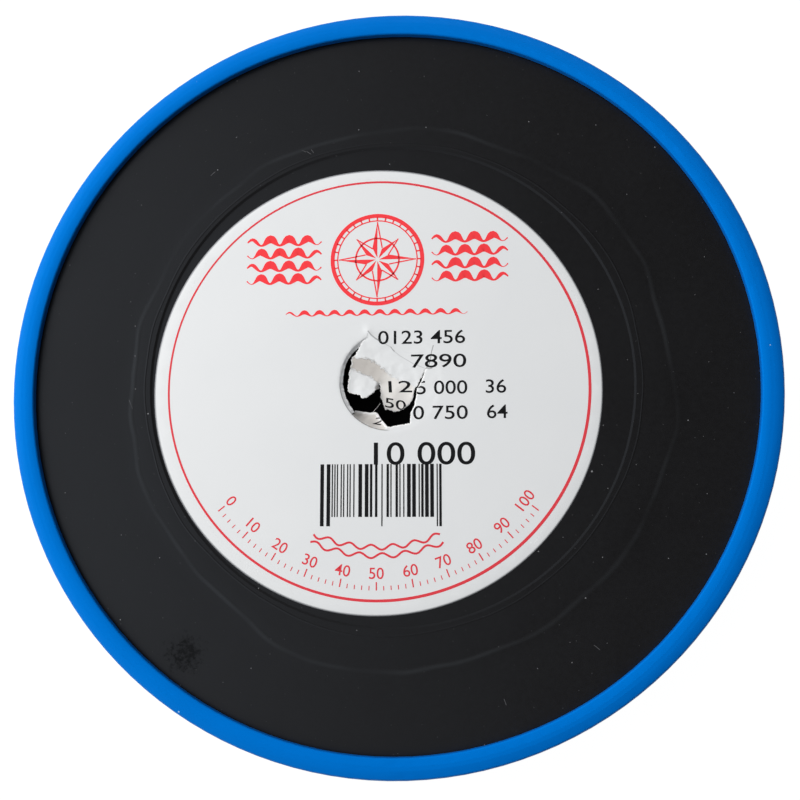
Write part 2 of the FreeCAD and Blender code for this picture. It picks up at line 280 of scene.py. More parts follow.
def add_key_lamp():
    """A square soft lamp that faces the spool from the upper left. Reflections leave it out."""
    data = bpy.data.lights.new("key_lamp", "AREA")
    data.size = KEY_SIZE * MM
    data.energy = KEY_WATTS
    data.color = KEY_COLOUR
    lamp = bpy.data.objects.new("key_lamp", data)
    bpy.context.scene.collection.objects.link(lamp)
    turn, climb = math.radians(KEY_AZIMUTH), math.radians(KEY_ELEVATION)
    away = Vector((math.cos(turn) * math.cos(climb), math.sin(turn) * math.cos(climb), math.sin(climb)))
    lamp.location = away * KEY_REACH * MM
    lamp.rotation_euler = away.to_track_quat("Z", "Y").to_euler()
    lamp.visible_glossy = False


CAMERA_PLACE = Vector((18.75, -33.29, 233.70))
CAMERA_AIM = Vector((2.31, -4.159, 20.0))
CAMERA_LENS = 46.93
CAMERA_SENSOR = 36
CAMERA_NEAREST = 10


def add_camera():
    """Nearly overhead and leaning a little down and right of the axis, level with the label's print."""
    data = bpy.data.cameras.new("camera")
    data.lens = CAMERA_LENS
    data.sensor_width = CAMERA_SENSOR
    data.clip_start = CAMERA_NEAREST * MM
    camera = bpy.data.objects.new("camera", data)
    bpy.context.scene.collection.objects.link(camera)
    forward = (CAMERA_AIM - CAMERA_PLACE).normalized()
    right = forward.cross(Vector((0, 1, 0))).normalized()
    up = right.cross(forward)
    turn = Matrix((right, up, -forward)).transposed().to_4x4()
    camera.matrix_world = Matrix.Translation(CAMERA_PLACE * MM) @ turn
    bpy.context.scene.camera = camera


# Materials. Marks that belong on a piece's upper parts fade in between the two heights of its LEVELS.

PLASTIC_DARK, PLASTIC_PALE = rgba(0.0030, 0.0030, 0.0033), rgba(0.0062, 0.0062, 0.0066)
SMUDGE_COLOUR = rgba(0.002, 0.002, 0.002)
MARK_COLOUR = rgba(0.20, 0.20, 0.21)
# Painted highlight: a lighter colour along the shrink ridge.
RIDGE_HIGHLIGHT_COLOUR = rgba(0.017, 0.019, 0.021)
RIDGE_HIGHLIGHT_SHARE = 0.7
FACE_LEVELS = (BAND_TOP - 3.2, BAND_TOP - 2.8)
RECESS_LEVELS = (BAND_TOP - 4.5, BAND_TOP - 4.0)
RIDGE_CENTRE = (2.1, -1.9)
RIDGE_RADIUS, RIDGE_WIDTH = 57.0, 0.75
RIDGE_WOBBLE = 1.3
SHELF_HALF_WIDTH = 3.0
FINE_LINE_CENTRE = (0.3, -0.1)
FINE_LINE_RADIUS, FINE_LINE_WIDTH = 52.0, 0.26
FINE_LINE_WOBBLE = 0.45
STEP_RADIUS, STEP_REACH, STEP_CORE = 50.6, 0.45, 0.30
STEP_SOFTNESS = 2.6
SMUDGE_CENTRE = (-41.6, -55.8)
SMUDGE_REACH, SMUDGE_CORE = 7.0, 0.5
# Specks of dust: spacing, radius, share of the cells that hold one, and strength.
FACE_DUST = [(7.0, 0.085, 0.36, 1.0), (19.0, 0.14, 0.35, 1.0), (3.1, 0.07, 0.35, 0.22)]
SCRATCH_WIDTH, SCRATCH_STRENGTH = 0.08, 0.6
SCRATCHES = [
    [(-38.8, 45.4), (-37.9, 46.2)],
    [(-18.9, 50.5), (-18.1, 50.1)],
    [(-17.9, 50.2), (-17.0, 49.6)],
    [(-16.9, 50.6), (-16.4, 49.9)],
    [(23.0, -64.2), (23.4, -65.3)],
    [(-55.2, -3.6), (-54.4, -5.4)],
    [(40.9, -53.6), (42.0, -54.5)],
]


def line_mask(shader, places, width):
    """1 on a line through the places, 0 beyond its width to either side."""
    parts = []
    for (x0, y0), (x1, y1) in zip(places, places[1:]):
        along = Vector((x1 - x0, y1 - y0, 0))
        offset = shader.offset(x0, y0)
        share = shader.vector("DOT_PRODUCT", offset, along / along.length_squared)
        nearest = shader.vector("SCALE", tuple(along), scale=shader.fade(share, 0.0, 1.0, kind="LINEAR"))
        off = shader.vector("LENGTH", shader.vector("SUBTRACT", offset, nearest))
        parts.append(shader.fade(off, width, 0.0))
    return shader.strongest(*parts)


def dust_mask(shader, spacing, radius, share):
    """1 on small round specks, one in a share of the cells of a random net."""
    cells = shader.node("ShaderNodeTexVoronoi", voronoi_dimensions="2D")
    shader.feed(cells.inputs["Vector"], shader.place)
    cells.inputs["Scale"].default_value = 1 / spacing
    pick = shader.node("ShaderNodeSeparateColor")
    shader.feed(pick.inputs[0], cells.outputs["Color"])
    chosen = shader.math("LESS_THAN", pick.outputs[0], share)
    size = shader.math("MULTIPLY_ADD", pick.outputs[1], radius / spacing, 0.4 * radius / spacing)
    spot = shader.math("LESS_THAN", cells.outputs["Distance"], size)
    return shader.product(chosen, spot)


def black_plastic():
    """Satin moulded plastic, slightly mottled, with dust, fine scratches, a smudge and a shrink ridge with a
    painted highlight along it.
    """
    shader = Shader("black_moulded_plastic")
    height = shader.axis(shader.place, "Z")
    on_face = shader.fade(height, *FACE_LEVELS)
    mottle = shader.noise(1.1, detail=4, roughness=0.7)
    cloud = shader.noise(24, detail=3)

    marks = [shader.product(dust_mask(shader, *speck), strength) for *speck, strength in FACE_DUST]
    marks += [shader.product(line_mask(shader, ends, SCRATCH_WIDTH), SCRATCH_STRENGTH) for ends in SCRATCHES]
    marks = shader.product(shader.strongest(*marks), on_face)

    smudge_shape = shader.fade(shader.distance(*SMUDGE_CENTRE), SMUDGE_REACH, SMUDGE_CORE)
    blotch = shader.math("MULTIPLY_ADD", smudge_shape, 0.30, shader.noise(0.9, detail=5, roughness=0.75))
    smudge = shader.product(shader.fade(blotch, 0.58, 0.92), shader.fade(smudge_shape, 0.0, 0.2), on_face)

    wobble = shader.fade(shader.noise(30, detail=2), 0.25, 0.75, -RIDGE_WOBBLE, RIDGE_WOBBLE)
    ring = shader.math("ADD", shader.distance(*RIDGE_CENTRE), wobble)
    patches = shader.fade(shader.noise(22), 0.35, 0.65, 0.15, 1.0)
    ridge = shader.product(shader.near(ring, RIDGE_RADIUS, RIDGE_WIDTH), patches, on_face)
    shelf = shader.fade(ring, RIDGE_RADIUS + SHELF_HALF_WIDTH, RIDGE_RADIUS - SHELF_HALF_WIDTH)
    wobble = shader.fade(shader.noise(34, detail=2), 0.3, 0.7, -FINE_LINE_WOBBLE, FINE_LINE_WOBBLE)
    ring = shader.math("ADD", shader.distance(*FINE_LINE_CENTRE), wobble)
    fine_line = shader.product(shader.near(ring, FINE_LINE_RADIUS, FINE_LINE_WIDTH), on_face)

    base = shader.mix(mottle, PLASTIC_DARK, PLASTIC_PALE)
    base = shader.mix(smudge, base, SMUDGE_COLOUR)
    base = shader.mix(marks, base, MARK_COLOUR)
    # Painted highlight along the shrink ridge.
    shader.set("Base Color", shader.mix(shader.product(ridge, RIDGE_HIGHLIGHT_SHARE), base, RIDGE_HIGHLIGHT_COLOUR))
    rough = shader.fade(cloud, 0.3, 0.7, 0.36, 0.44)
    rough = shader.math("ADD", rough, shader.fade(mottle, 0.3, 0.7, -0.03, 0.03))
    shader.set("Roughness", shader.math("MULTIPLY_ADD", smudge, 0.1, rough))
    shader.set("Specular IOR Level", shader.fade(smudge, 0.0, 1.0, 0.5, 0.24))

    relief = shader.relief((shader.product(shelf, on_face), 0.10), (ridge, 0.04), (fine_line, 0.035),
                           (shader.noise(9, detail=3), 0.05), (shader.noise(0.5, detail=3), 0.006))
    on_step = shader.product(shader.near(shader.distance(0, 0), STEP_RADIUS, STEP_REACH, STEP_CORE),
                             shader.fade(height, *RECESS_LEVELS), STEP_SOFTNESS)
    softened = shader.vector("ADD", relief, shader.vector("SCALE", (0, 0, 1), scale=on_step))
    shader.set("Normal", shader.vector("NORMALIZE", softened))
    return shader.material


BLUE_DEEP, BLUE_BRIGHT = rgba(0.0, 0.146, 0.590), rgba(0.0, 0.164, 0.650)
BLUE_SHEEN = rgba(0.0, 0.75, 1.0)
NICK_COLOUR = rgba(0.35, 0.55, 0.80)
NICK_SPECKS = (11, 0.13, 0.25)
LIP_LEVELS = (BAND_TOP - 1.2, BAND_TOP - 0.9)


def blue_plastic():
    """Satin soft plastic, saturated, with fine handling marks and small pale nicks on the front lip."""
    shader = Shader("blue_soft_plastic")
    fine = shader.noise(0.8, detail=3, roughness=0.6)
    on_lip = shader.fade(shader.axis(shader.place, "Z"), *LIP_LEVELS)
    nicks = shader.product(dust_mask(shader, *NICK_SPECKS), on_lip)
    base = shader.mix(shader.noise(14, detail=3), BLUE_DEEP, BLUE_BRIGHT)
    shader.set("Base Color", shader.mix(nicks, base, NICK_COLOUR))
    shader.set("Roughness", shader.fade(fine, 0.3, 0.7, 0.36, 0.46))
    shader.set("Specular IOR Level", 0.55)
    shader.set("Specular Tint", BLUE_SHEEN)
    shader.set("Normal", shader.relief((shader.noise(6, detail=2), 0.03), (fine, 0.004)))
    return shader.material


LINE_GREY, LINE_PALE = rgba(0.70, 0.72, 0.72), rgba(0.82, 0.84, 0.83)


def clear_line():
    """Turns of clear nylon line, 0.6 mm apart along the axis."""
    shader = Shader("clear_wound_line")
    turns = shader.node("ShaderNodeTexWave", bands_direction="Z")
    shader.feed(turns.inputs["Vector"], shader.place)
    turns.inputs["Scale"].default_value = 0.5
    turns.inputs["Distortion"].default_value = 0.6
    tint = shader.noise(5, detail=2)
    shader.set("Base Color", shader.mix(tint, LINE_GREY, LINE_PALE))
    shader.set("Roughness", shader.fade(tint, 0.3, 0.7, 0.12, 0.2))
    shader.set("Transmission Weight", 0.35)
    shader.set("Normal", shader.relief((turns.outputs[0], 0.25)))
    return shader.material


PAPER_GREY, PAPER_PALE = rgba(0.745, 0.760, 0.775), rgba(0.785, 0.795, 0.805)
# Painted shade: a warm light tint and a deep shade colour for the steep bent flaps and the lower flap.
SHADE_TINT_LIGHT, SHADE_TINT_DEEP = rgba(0.88, 0.86, 0.835), rgba(0.535, 0.505, 0.475)
# Painted shade: a dark band along the label's turned-down cut edge.
EDGE_SHADE_COLOUR = rgba(0.20, 0.205, 0.22)
EDGE_SHADE_RADII = (LABEL_RADIUS - 0.50, LABEL_RADIUS - 0.05)
# Bare fibre on the torn edges, and painted highlight along the flap's fold.
FIBRE_AND_HIGHLIGHT_COLOUR = rgba(0.90, 0.90, 0.90)
# Painted shade in the creases, the fine tears and the bend over the bore's rim.
CREASE_SHADE_COLOUR = rgba(0.05, 0.05, 0.05)
CREASE_SHADE_SHARE = 0.62
SHADE_EDGE_WANDER = 0.42


def crease_shade_lines(shader):
    """Painted shade in fine dark lines: the crease, the fine tears, and the bend over the bore's rim at the
    lower left.
    """
    crease = shader.product(line_mask(shader, CREASE[3:], 0.16), 0.40)
    lines = [line_mask(shader, line, width) for line, width in [(FOLD_LINE, 0.24), *FINE_TEARS]]
    bend = shader.product(shader.near(shader.distance(0, 0), BORE_EDGE, 0.17, 0.03),
                          shader.fade(shader.axis(shader.place, "Y"), 2.0, -3.0),
                          shader.fade(shader.axis(shader.place, "X"), 0.4, -1.0))
    return shader.product(shader.strongest(crease, *lines, bend), CREASE_SHADE_SHARE)


def label_paper():
    """Coated label paper, softly mottled, with painted shade on the bent flaps and a painted highlight along
    the top of it, painted shade along the cut edge and in fine dark lines, and bare fibres along the tears.
    """
    shader = Shader("printed_label_paper")
    torn = shader.attribute("torn")
    shade_share = shader.attribute("shade_share")
    fibre = shader.noise(0.25, detail=4, roughness=0.7)
    wander = shader.fade(shader.noise(0.7, detail=5, roughness=0.75), 0.25, 0.75, -SHADE_EDGE_WANDER, SHADE_EDGE_WANDER)
    inner = shader.math("ADD", shader.attribute("inner"), wander)
    # Painted highlight: a bright ragged line where the flap folds down, at the top of the painted shade.
    rim = shader.product(shader.near(inner, -0.14, 0.16, 0.04), shade_share)
    # Painted shade along the cut edge.
    edge_shade = shader.fade(shader.distance(*LABEL_CENTRE), *EDGE_SHADE_RADII)
    base = shader.mix(shader.noise(18, detail=3), PAPER_GREY, PAPER_PALE)
    shade_tint = shader.mix(shade_share, SHADE_TINT_LIGHT, SHADE_TINT_DEEP)
    # Painted shade on the bent flaps.
    base = shader.mix(shader.fade(inner, -0.05, 0.05), base, shade_tint)
    base = shader.mix(edge_shade, base, EDGE_SHADE_COLOUR)
    base = shader.mix(shader.strongest(torn, rim), base, FIBRE_AND_HIGHLIGHT_COLOUR)
    # Painted shade in the crease lines.
    shader.set("Base Color", shader.mix(crease_shade_lines(shader), base, CREASE_SHADE_COLOUR))
    shader.set("Roughness", shader.math("MULTIPLY_ADD", torn, 0.35, shader.fade(fibre, 0.3, 0.7, 0.48, 0.58)))
    shader.set("Specular IOR Level", 0.35)
    fuzz = shader.product(fibre, shader.math("MULTIPLY_ADD", torn, 0.9, 0.1))
    shader.set("Normal", shader.relief((shader.noise(5, detail=3), 0.03), (rim, 0.08), (fuzz, 0.05)))
    return shader.material


BRIGHT_RED, DULL_RED, BLACK = (0.92, 0.046, 0.058), (0.74, 0.048, 0.066), (0.004, 0.004, 0.005)
INK_SPREAD = 0.012


def print_ink(name, colour):
    """Ink that takes on the paper's fine tooth and is a little uneven."""
    shader = Shader(name)
    uneven = shader.noise(0.6, detail=3, roughness=0.6)
    pale = tuple(channel + INK_SPREAD for channel in colour)
    shader.set("Base Color", shader.mix(uneven, rgba(*colour), rgba(*pale)))
    shader.set("Roughness", shader.fade(uneven, 0.3, 0.7, 0.45, 0.6))
    shader.set("Specular IOR Level", 0.12)
    shader.set("Normal", shader.relief((uneven, 0.01)))
    return shader.material


# The torn paper over the bore. Outlines run as the label is read.

BORE_EDGE = 10.4
CREASE = [
    (-4.36, 10.52), (-3.72, 9.71), (-2.76, 9.07), (-1.96, 8.5), (-0.84, 7.78), (0.29, 7.13), (0.93, 6.32),
    (2.21, 5.27), (3.65, 4.39), (5.25, 3.42), (7.65, 2.45),
]
SLIT = [
    (7.65, 2.45), (7.2, 1.0), (6.69, -0.3), (5.81, -1.75), (5.73, -2.72), (5.25, -5.3), (4.45, -6.76),
    (4.37, -8.94),
]
BOTTOM_TEAR = [(4.37, -8.94), (2.53, -9.26), (1.25, -9.58), (-0.52, -9.82)]
RIM_END_ANGLE, FLAP_ANGLE, RIM_START_ANGLE = 117.0, 221.5, 263.6
FLAP_LEFT = [
    (-8.40, -2.36), (-8.72, -2.05), (-8.80, -0.99), (-8.68, 0.50), (-8.56, 1.85), (-8.48, 2.78),
    (-8.15, 3.66), (-8.14, 4.56), (-7.83, 5.24), (-7.25, 5.68), (-6.9, 6.12), (-6.49, 7.06),
    (-5.99, 8.0), (-5.34, 8.79), (-4.84, 9.57), (-4.36, 10.52),
]
FLAP_BOTTOM = [
    (-2.2, -0.1), (-2.41, -1.25), (-2.94, -1.77), (-3.55, -2.28), (-4.17, -2.84), (-4.79, -3.33),
    (-5.42, -3.41), (-6.05, -3.25), (-6.37, -2.85), (-6.93, -2.52), (-7.62, -2.52), (-8.40, -2.36),
]
TONGUE = [
    (7.65, 2.45), (7.12, 1.3), (6.27, -0.3), (5.30, -1.88), (5.02, -2.92), (4.74, -3.88), (4.20, -4.44),
    (3.4, -5.22), (2.81, -5.66), (2.07, -5.71), (1.4, -6.06), (0.76, -5.98), (-0.2, -5.66), (-1.16, -5.57),
    (-1.54, -4.96), (-1.75, -3.89), (-2.15, -2.96), (-2.05, -2.05), (-2.1, -1.14), (-2.2, -0.1),
]
# Inner edge of the strip bent over the bore's rim: angle, radius, drop.
STRIP_EDGE = [
    (221.5, 9.68, 0.60), (209.4, 9.63, 0.50), (197.6, 9.66, 0.48), (185.7, 9.74, 0.50), (171.4, 9.73, 0.50),
    (158.6, 9.80, 0.50), (146.3, 9.84, 0.60), (137.0, 9.72, 0.75), (130.0, 9.70, 0.70), (123.0, 9.98, 0.42),
    (117.0, 10.38, 0.05),
]
# The strip's section from the bend to its edge: share of the way in, and share of the drop.
STRIP_SECTION = [(0.0, 0.0), (0.10, 0.09), (0.25, 0.26), (0.45, 0.50), (0.65, 0.70), (0.84, 0.86), (1.0, 1.0)]
STRIP_TATTER = 0.12
# Torn top of the flap bent down at the lower left of the bore: place and drop.
LOWER_TOP = [
    (-7.25, -6.41, 1.6), (-5.88, -6.40, 3.0), (-4.32, -6.66, 3.4), (-3.69, -6.48, 3.5), (-2.96, -6.54, 3.4),
    (-2.30, -7.86, 2.4), (-1.4, -9.00, 1.2), (-0.52, -9.92, 0.0),
]
# Strength of the painted shade over the whole lower flap.
LOWER_FLAP_SHADE = 0.65
# A loose fibre: place and height over the label.
FIBRE = [
    (-3.95, -6.62, -2.7), (-3.55, -6.2, -2.6), (-3.2, -5.7, -2.75), (-2.75, -5.2, -2.95), (-2.1, -4.3, -3.3),
]
# Lines pressed into the paper, and fine tears in it with their widths, drawn as painted shade.
FOLD_LINE = [(-4.40, 10.50), (-3.84, 9.77), (-2.94, 9.01), (-1.75, 8.27)]
FINE_TEARS = [
    ([(0.34, 7.13), (0.72, 6.60), (1.09, 6.22)], 0.17),
    ([(7.65, 2.45), (8.25, 3.05), (8.62, 4.30), (8.85, 5.9), (9.25, 7.3)], 0.17),
    ([(7.95, 2.60), (8.35, 2.42), (8.95, 2.55)], 0.20),
]

CREASE_START = np.array(CREASE[0])
CREASE_RUN = np.array((0.822, -0.570))
CREASE_SIDE = np.array((-0.570, -0.822))
# The share of the flap past this distance from the crease is cut in two by the tear.
SPLIT_SIDE = 7.6


def walk(points, step):
    """Points at even steps of about step along straight runs, with both ends."""
    points = np.array(points, float)
    runs = np.linalg.norm(np.diff(points, axis=0), axis=1)
    travelled = np.concatenate(([0], np.cumsum(runs)))
    at = np.linspace(0, travelled[-1], max(2, round(travelled[-1] / step) + 1))
    return np.column_stack([np.interp(at, travelled, points[:, axis]) for axis in range(points.shape[1])])


def sideways(ahead):
    """Unit vectors to the left of the ways ahead."""
    return np.column_stack((-ahead[:, 1], ahead[:, 0])) / np.linalg.norm(ahead, axis=1)[:, None]


def ragged(points, step, depth, seed):
    """A torn edge: the same walk, with its inner points pushed a little to either side."""
    draw = random.Random(seed)
    even = walk(points, step)
    push = np.array([draw.uniform(-1, 1) for _ in even])
    push = depth * (0.6 * push + 0.4 * np.interp(np.arange(len(even)), np.arange(0, len(even), 3), push[::3]))
    push[0] = push[-1] = 0
    even[:, :2] += sideways(np.gradient(even[:, :2], axis=0)) * push[:, None]
    return even


def arc(radius, start, end, count, centre=(0, 0)):
    turn = np.radians(np.linspace(start, end, count))
    return np.column_stack((centre[0] + radius * np.cos(turn), centre[1] + radius * np.sin(turn)))


def circle(radius, centre, count):
    return arc(radius, 0, 360, count + 1, centre)[:-1]


def rise(value, start, end):
    """Goes smoothly from 0 to 1 while value goes from start to end."""
    share = np.clip((value - start) / (end - start), 0, 1)
    return share * share * (3 - 2 * share)


def gaps_to(points, loop):
    """Each point's distance from the nearest of the loop's points."""
    return np.min(np.linalg.norm(points[:, None, :] - loop[None, :, :2], axis=2), axis=1)


def from_centre(points, centre=(0, 0)):
    return np.hypot(points[:, 0] - centre[0], points[:, 1] - centre[1])


def across_crease(points):
    """Each point's run along the crease, and its distance from it into the flap."""
    run = (points - CREASE_START) @ CREASE_RUN
    side = (points - CREASE_START) @ CREASE_SIDE
    bends = np.array(CREASE) - CREASE_START
    bow = np.interp(run, bends @ CREASE_RUN, bends @ CREASE_SIDE)
    return run, side - bow


def ripple(points, size, depth, level=0.0):
    return np.array([depth * noise.noise(Vector((x / size, y / size, level))) for x, y in points])


def flat_height(points):
    """Height of the stuck-down paper: level, sagging a little into the bore, raised beside the crease."""
    radius = from_centre(points)
    run, side = across_crease(points)
    sag = 0.05 * rise(radius, 10.95, 10.35) + 0.04 * np.clip(10.5 - radius, 0, None)
    lift = 0.30 * rise(run, 9.0, 1.5) * rise(run, -1.6, 0.0) * np.exp(-np.abs(side) / 0.55)
    folds = ripple(points, 3.0, 0.10) * rise(radius, 12.5, 8.5)
    pressed = 0.09 * rise(from_centre(points, LABEL_CENTRE), LABEL_RADIUS - 0.5, LABEL_RADIUS)
    return LABEL_TOP - sag + lift - np.abs(folds) - pressed


def band_edges(run):
    """Distances from the crease between which the flap is steep."""
    return np.interp(run, (0.4, 3.4), (6.25, 4.5)), np.interp(run, (1.4, 7.0), (8.0, 7.15))


def tongue_share(run, side):
    """0 where the flap has its level left end, 1 where it has its falling tongue."""
    past = np.clip(side - 7.4, 0, None)
    middle = 7.9 + 0.3 * past
    width = np.maximum(0.2, 1.9 - 0.55 * np.clip(side - 5, 0, None))
    share = rise(run, middle - width, middle + width)
    return np.where(side > SPLIT_SIDE, run > 7.8 + 0.35 * past, share)


def flap_height(points):
    """Height of the torn flap: gentle, then steep, then level at its left end or falling on its tongue."""
    run, side = across_crease(points)
    side = np.clip(side, 0, None)
    upper, lower = band_edges(run)
    gentle = 0.50 * (np.minimum(side, upper) / 4.5) ** 1.45
    steep = np.clip(side - upper, 0, None)
    left = np.minimum(steep, lower - upper) * 0.32 - 0.07 * np.clip(side - lower, 0, None)
    right = 0.44 * steep + 0.023 * steep ** 2
    share = tongue_share(run, side)
    drop = gentle + left * (1 - share) + right * share
    folds = ripple(points, 2.2, 0.14, 5.0) + ripple(points, 0.8, 0.04, 9.0)
    return flat_height(points) - drop + folds * rise(side, 0.0, 2.0)


def flap_shade(points):
    """How far each point lies inside the area of painted shade on the bent flap, and how strong the painted
    shade is there.
    """
    run, side = across_crease(points)
    upper, lower = band_edges(run)
    share = tongue_share(run, side)
    inner = np.where(share > 0.5, side - upper, np.minimum(side - upper, lower - side))
    return inner, 0.95 - 0.75 * share


def inside(points, loop):
    """Which of the points lie inside the closed loop."""
    x, y = points[:, 0], points[:, 1]
    found = np.zeros(len(points), bool)
    for (ax, ay), (bx, by) in zip(loop, np.roll(loop, -1, axis=0)):
        if ay != by:
            crosses = (ay > y) != (by > y)
            found ^= crosses & (x < ax + (y - ay) * (bx - ax) / (by - ay))
    return found


def hexagons(low, high, step):
    """A net of points in even triangles over a rectangle."""
    rows = np.arange(low[1], high[1], step * math.sqrt(3) / 2)
    net = [(x + (step / 2 if row % 2 else 0), y)
           for row, y in enumerate(rows) for x in np.arange(low[0], high[0], step)]
    return np.array(net)


def sheet_mesh(outer, holes, inner_points):
    """Triangles between the outer loop and the holes. Returns points and faces."""
    points = []
    edges = []
    for loop in (outer, *holes):
        start, count = len(points), len(loop)
        points += [tuple(p) for p in loop]
        edges += [(start + i, start + (i + 1) % count) for i in range(count)]
    points += [tuple(p) for p in inner_points]
    made, _, faces, _, _, _ = delaunay_2d_cdt([Vector(p) for p in points], edges, [], 0, 1e-5)
    made = np.array([tuple(p) for p in made])
    faces = np.array([tuple(f) for f in faces])
    centres = made[faces].mean(axis=1)
    keep = inside(centres, np.array(outer))
    for hole in holes:
        keep &= ~inside(centres, np.array(hole))
    return made, faces[keep]


TEAR_STEP = 0.22
CREASE_STEP = 0.35
RIM_COUNT = 110
LABEL_EDGE_COUNT = 240
LOOP_CLEARANCE = 0.14
crease = walk(CREASE, CREASE_STEP)
slit = ragged(SLIT, TEAR_STEP, 0.07, SEED)
bottom_tear = ragged(BOTTOM_TEAR, TEAR_STEP, 0.16, SEED + 1)
flap_left = ragged(FLAP_LEFT, TEAR_STEP, 0.20, SEED + 2)
flap_bottom = ragged(FLAP_BOTTOM, TEAR_STEP, 0.20, SEED + 3)
tongue_edge = ragged(TONGUE, TEAR_STEP, 0.15, SEED + 4)
rim_angles = np.linspace(RIM_START_ANGLE, RIM_END_ANGLE, RIM_COUNT)
rim = arc(BORE_EDGE, RIM_START_ANGLE, RIM_END_ANGLE, RIM_COUNT)
hole_loop = np.vstack((crease, slit[1:], bottom_tear[1:], rim, crease[:1]))[:-1]
flap_loop = np.vstack((crease, tongue_edge[1:], flap_bottom[1:], flap_left[1:-1]))
label_edge, *edge_rings = [
    circle(LABEL_RADIUS - inset, LABEL_CENTRE, LABEL_EDGE_COUNT) for inset in (0, 0.25, 0.55)
]


class Soup:
    """Points and faces gathered from several patches, with shares of tear and of painted shade for each
    point.
    """

    def __init__(self):
        self.points, self.faces = [], []
        self.shares = {"torn": [], "inner": [], "shade_share": []}

    def add(self, points, faces, torn, inner=-1.0, shade_share=0.0):
        start = len(self.points)
        self.points += [tuple(p) for p in points]
        self.faces += [tuple(int(start + i) for i in face) for face in faces]
        for name, values in (("torn", torn), ("inner", inner), ("shade_share", shade_share)):
            self.shares[name] += [float(v) for v in np.broadcast_to(values, len(points))]

    def build(self, name):
        mesh = bpy.data.meshes.new(name)
        mesh.from_pydata([tuple(c * MM for c in p) for p in self.points], [], self.faces)
        for share, values in self.shares.items():
            mesh.attributes.new(share, "FLOAT", "POINT").data.foreach_set("value", values)
        piece = bpy.data.objects.new(name, mesh)
        bpy.context.scene.collection.objects.link(piece)
        clean = bmesh.new()
        clean.from_mesh(mesh)
        bmesh.ops.remove_doubles(clean, verts=clean.verts, dist=0.002 * MM)
        bmesh.ops.recalc_face_normals(clean, faces=clean.faces)
        for face in clean.faces:
            face.smooth = True
        clean.to_mesh(mesh)
        clean.free()
        return piece


def tear_share(points, edges, width=0.3):
    """1 on a torn edge, falling to 0 over the width of bare fibres beside it."""
    return np.max([rise(gaps_to(points, edge), width, 0.0) for edge in edges], axis=0)


def grid_faces(rows, columns):
    return [(r * columns + c, r * columns + c + 1, (r + 1) * columns + c + 1, (r + 1) * columns + c)
            for r in range(rows - 1) for c in range(columns - 1)]


def clear_of(points, loop):
    """Which of the points keep clear of the loop's points."""
    return gaps_to(points, loop) >= LOOP_CLEARANCE


def flat_sheet():
    """The stuck-down part of the label, with finer triangles towards the tears."""
    coarse = hexagons((-52, -50), (46, 48), 2.4)
    fine = hexagons((-12.6, -12.6), (12.6, 12.6), 0.4)
    medium = hexagons((-16, -16), (16, 16), 1.0)
    medium_radius = from_centre(medium)
    fill = np.vstack((
        coarse[from_centre(coarse) > 16.5],
        medium[(medium_radius > 12.8) & (medium_radius < 16)],
        fine[from_centre(fine) < 12.5],
    ))
    fill = fill[from_centre(fill, LABEL_CENTRE) < LABEL_RADIUS - 1.2]
    fill = fill[~inside(fill, hole_loop) & clear_of(fill, hole_loop)]
    return sheet_mesh(label_edge, [hole_loop], np.vstack((fill, *edge_rings)))


def upper_flap():
    """The flap that hangs from the crease."""
    fill = hexagons((-10, -7), (8.5, 11), 0.36)
    fill = fill[inside(fill, flap_loop) & clear_of(fill, flap_loop)]
    return sheet_mesh(flap_loop, [], fill)


def rim_strip():
    """Paper bent over the bore's rim at the left, from the lower flap round to the crease."""
    draw = random.Random(SEED + 5)
    angles = rim_angles[rim_angles < FLAP_ANGLE + 0.5]
    table = np.array(STRIP_EDGE)[::-1]
    edge_radius = np.interp(angles, table[:, 0], table[:, 1])
    edge_drop = np.interp(angles, table[:, 0], table[:, 2])
    tatter = np.array([draw.uniform(-1, 1) for _ in angles]) * STRIP_TATTER
    turn = np.radians(angles)
    top = flat_height(np.column_stack((BORE_EDGE * np.cos(turn), BORE_EDGE * np.sin(turn))))
    points, torn = [], []
    for share, fall in STRIP_SECTION:
        wave = ripple(np.column_stack((angles / 6, np.full(len(angles), share))), 1.0, 0.1) * share
        radius = BORE_EDGE + (edge_radius - BORE_EDGE + tatter * share * 0.5) * share + wave
        height = top - (edge_drop + tatter) * fall
        points.append(np.column_stack((radius * np.cos(turn), radius * np.sin(turn), height)))
        torn += [0.85 if share == 1.0 else 0.0] * len(angles)
    return np.vstack(points), grid_faces(len(STRIP_SECTION), len(angles)), torn


def lower_flap():
    """The small flap bent down at the lower left, with a bare white edge that curls level again."""
    angles = rim_angles[rim_angles > FLAP_ANGLE - 0.6]
    columns = len(angles)
    top = ragged(LOWER_TOP[::-1], TEAR_STEP, 0.08, SEED + 6)
    even = np.linspace(0, len(top) - 1, columns)
    top = np.column_stack([np.interp(even, np.arange(len(top)), top[:, axis]) for axis in range(3)])
    start = arc(BORE_EDGE, angles[0], angles[-1], columns)
    level = flat_height(start)
    points, torn = [], []
    rows = 9
    for row in range(rows):
        share = row / (rows - 1)
        fall = 0.35 * share + 0.65 * math.sin(share * math.pi / 2)
        place = start + (top[:, :2] - start) * share
        bulge = ripple(place, 1.6, 0.12, 3.0) * math.sin(share * math.pi)
        points.append(np.column_stack((place, level - top[:, 2] * fall + bulge)))
        torn += [rise(share, 0.85, 1.0)] * columns
    curl = points[-1].copy()
    curl[:, :2] -= sideways(np.gradient(top[:, :2], axis=0)) * 0.35
    curl[:, 2] += 0.05
    points.append(curl)
    torn += [1.0] * columns
    return np.vstack(points), grid_faces(rows + 1, columns), torn


def loose_fibre():
    """A thin fibre that bridges the gap beside the lower flap."""
    path = walk(FIBRE, 0.2)
    path[:, 2] += LABEL_TOP
    side = np.array((0.015, -0.015, 0.0))
    return np.vstack((path + side, path - side)), grid_faces(2, len(path)), 1.0


